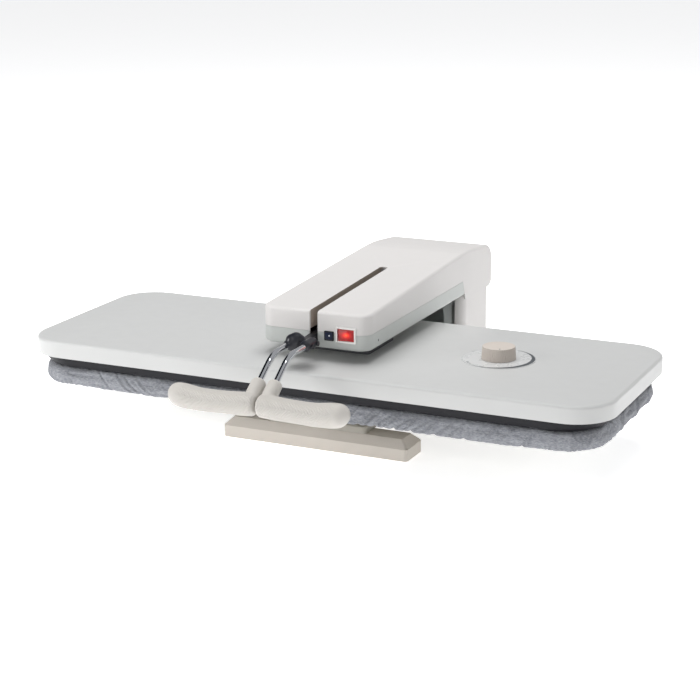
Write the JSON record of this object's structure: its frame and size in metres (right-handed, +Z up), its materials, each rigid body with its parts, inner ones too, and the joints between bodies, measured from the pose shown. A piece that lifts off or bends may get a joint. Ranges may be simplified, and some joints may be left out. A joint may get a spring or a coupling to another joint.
{
  "type": "ironing press",
  "caption": "Tabletop ironing press with a padded board on a low base and a heated plate on a tilting arm, closed by a front lever with two grips.",
  "frame": {"origin": "on the table, below the centre of the overall box", "axes": "+X to the user's right along the board, +Y from the user to the column, +Z up"},
  "size_m": [0.81, 0.618, 0.1987],
  "materials": {
    "foot_beige": "satin",
    "rubber_black": "matt",
    "base_cream": "painted board, satin",
    "steel_painted": "satin",
    "plastic_black": "fine texture",
    "steel_zinc": "zinc plated",
    "foam_white": "soft foam",
    "cover_fabric": "heathered weave",
    "frame_grey": "satin",
    "shell_pale": "satin",
    "shell_grey": "satin",
    "steel_bright": "ground",
    "bronze": "sintered",
    "circuit_green": "laminate",
    "core_steel": "lacquered",
    "bezel_white": "gloss",
    "steel_dark": "blackened",
    "rod_chrome": "polished",
    "grip_white": "herringbone texture",
    "plate_pale": "satin",
    "rim_dark": "satin",
    "sole_aluminium": "non-stick coated",
    "mat_fibre": "fibre mat",
    "plastic_cream": "satin",
    "bracket_dark": "satin",
    "dial_print": "printed film",
    "knob_beige": "ribbed",
    "rocker_red": "lit, translucent",
    "button_navy": "gloss",
    "light_white": "lit"
  },
  "bodies": {
    "base": {"front_foot": "foot_beige", "rear_foot": "foot_beige", "foot_pads": "rubber_black", "base_slab": "base_cream", "cross_tubes": "steel_painted", "tube_caps": "plastic_black", "board_tray": "steel_zinc", "board_foam": "foam_white", "board_cover": "cover_fabric", "column_frame": "frame_grey", "column_cover": "shell_pale", "column_bolts": "steel_zinc", "cable_gland": "plastic_black", "pivot_pin": "steel_bright", "pivot_clip": "steel_bright", "counter_springs": "steel_bright"},
    "arm": {"arm_top_cover": "shell_pale", "arm_lower_cover": "shell_grey", "cover_screws": "steel_zinc", "arm_frame": "steel_zinc", "pivot_bushes": "bronze", "lever_pin": "steel_bright", "lever_spacers": "plastic_black", "lift_springs": "steel_bright", "lever_bumper": "rubber_black", "control_board": "circuit_green", "transformer": "core_steel", "switch_bezel": "bezel_white", "button_housing": "plastic_black", "side_screws": "steel_dark"},
    "handle": {"lever_blade": "steel_dark", "lever_bush": "bronze", "handle_yoke": "plastic_black", "yoke_screws": "steel_dark", "rod_left": "rod_chrome", "rod_right": "rod_chrome", "grip_left": "grip_white", "grip_right": "grip_white"},
    "plate": {"plate_cover": "plate_pale", "plate_rim": "rim_dark", "sole_plate": "sole_aluminium", "heating_element": "steel_bright", "heat_shield": "steel_zinc", "insulation_mat": "mat_fibre", "thermostat": "plastic_cream", "thermal_fuse": "plastic_cream", "plate_stiffener": "steel_zinc", "press_bracket": "bracket_dark", "bracket_bolts": "steel_zinc", "pressure_roller": "steel_bright", "roller_pin": "steel_bright", "guide_posts": "steel_bright", "post_nuts": "steel_zinc", "dial_plate": "dial_print"},
    "knob": {"thermostat_knob": "knob_beige", "knob_shaft": "steel_bright"},
    "rocker": {"rocker_cap": "rocker_red"},
    "button": {"button_cap": "button_navy", "button_light": "light_white"}
  },
  "joints": [
    {"name": "arm_hinge", "type": "hinge", "parent": "base", "child": "arm", "pos_m": [0, 0.293, 0.146], "axis": [-1, 0, 0], "range_deg": [0, 30]},
    {"name": "handle_swing", "type": "hinge", "parent": "arm", "child": "handle", "pos_m": [0, 0.076, 0.166], "axis": [-1, 0, 0], "range_deg": [0, 85]},
    {"name": "plate_lift", "type": "slide", "parent": "arm", "child": "plate", "axis": [0, 0, 1], "range_m": [0, 0.005]},
    {"name": "thermostat_turn", "type": "hinge", "parent": "plate", "child": "knob", "pos_m": [0.2155, -0.0385, 0.13], "axis": [0, 0, -1], "range_deg": [0, 270]},
    {"name": "rocker_tilt", "type": "hinge", "parent": "arm", "child": "rocker", "pos_m": [0.0455, -0.13, 0.1575], "axis": [0, 0, -1], "range_deg": [0, 14]},
    {"name": "button_press", "type": "slide", "parent": "arm", "child": "button", "axis": [0, 1, 0], "range_m": [0, 0.0015], "stiffness_N_per_m": 300}
  ],
  "couplings": [
    {"joint": "plate_lift", "follows": "handle_swing", "m_per_rad": 0.00337}
  ]
}
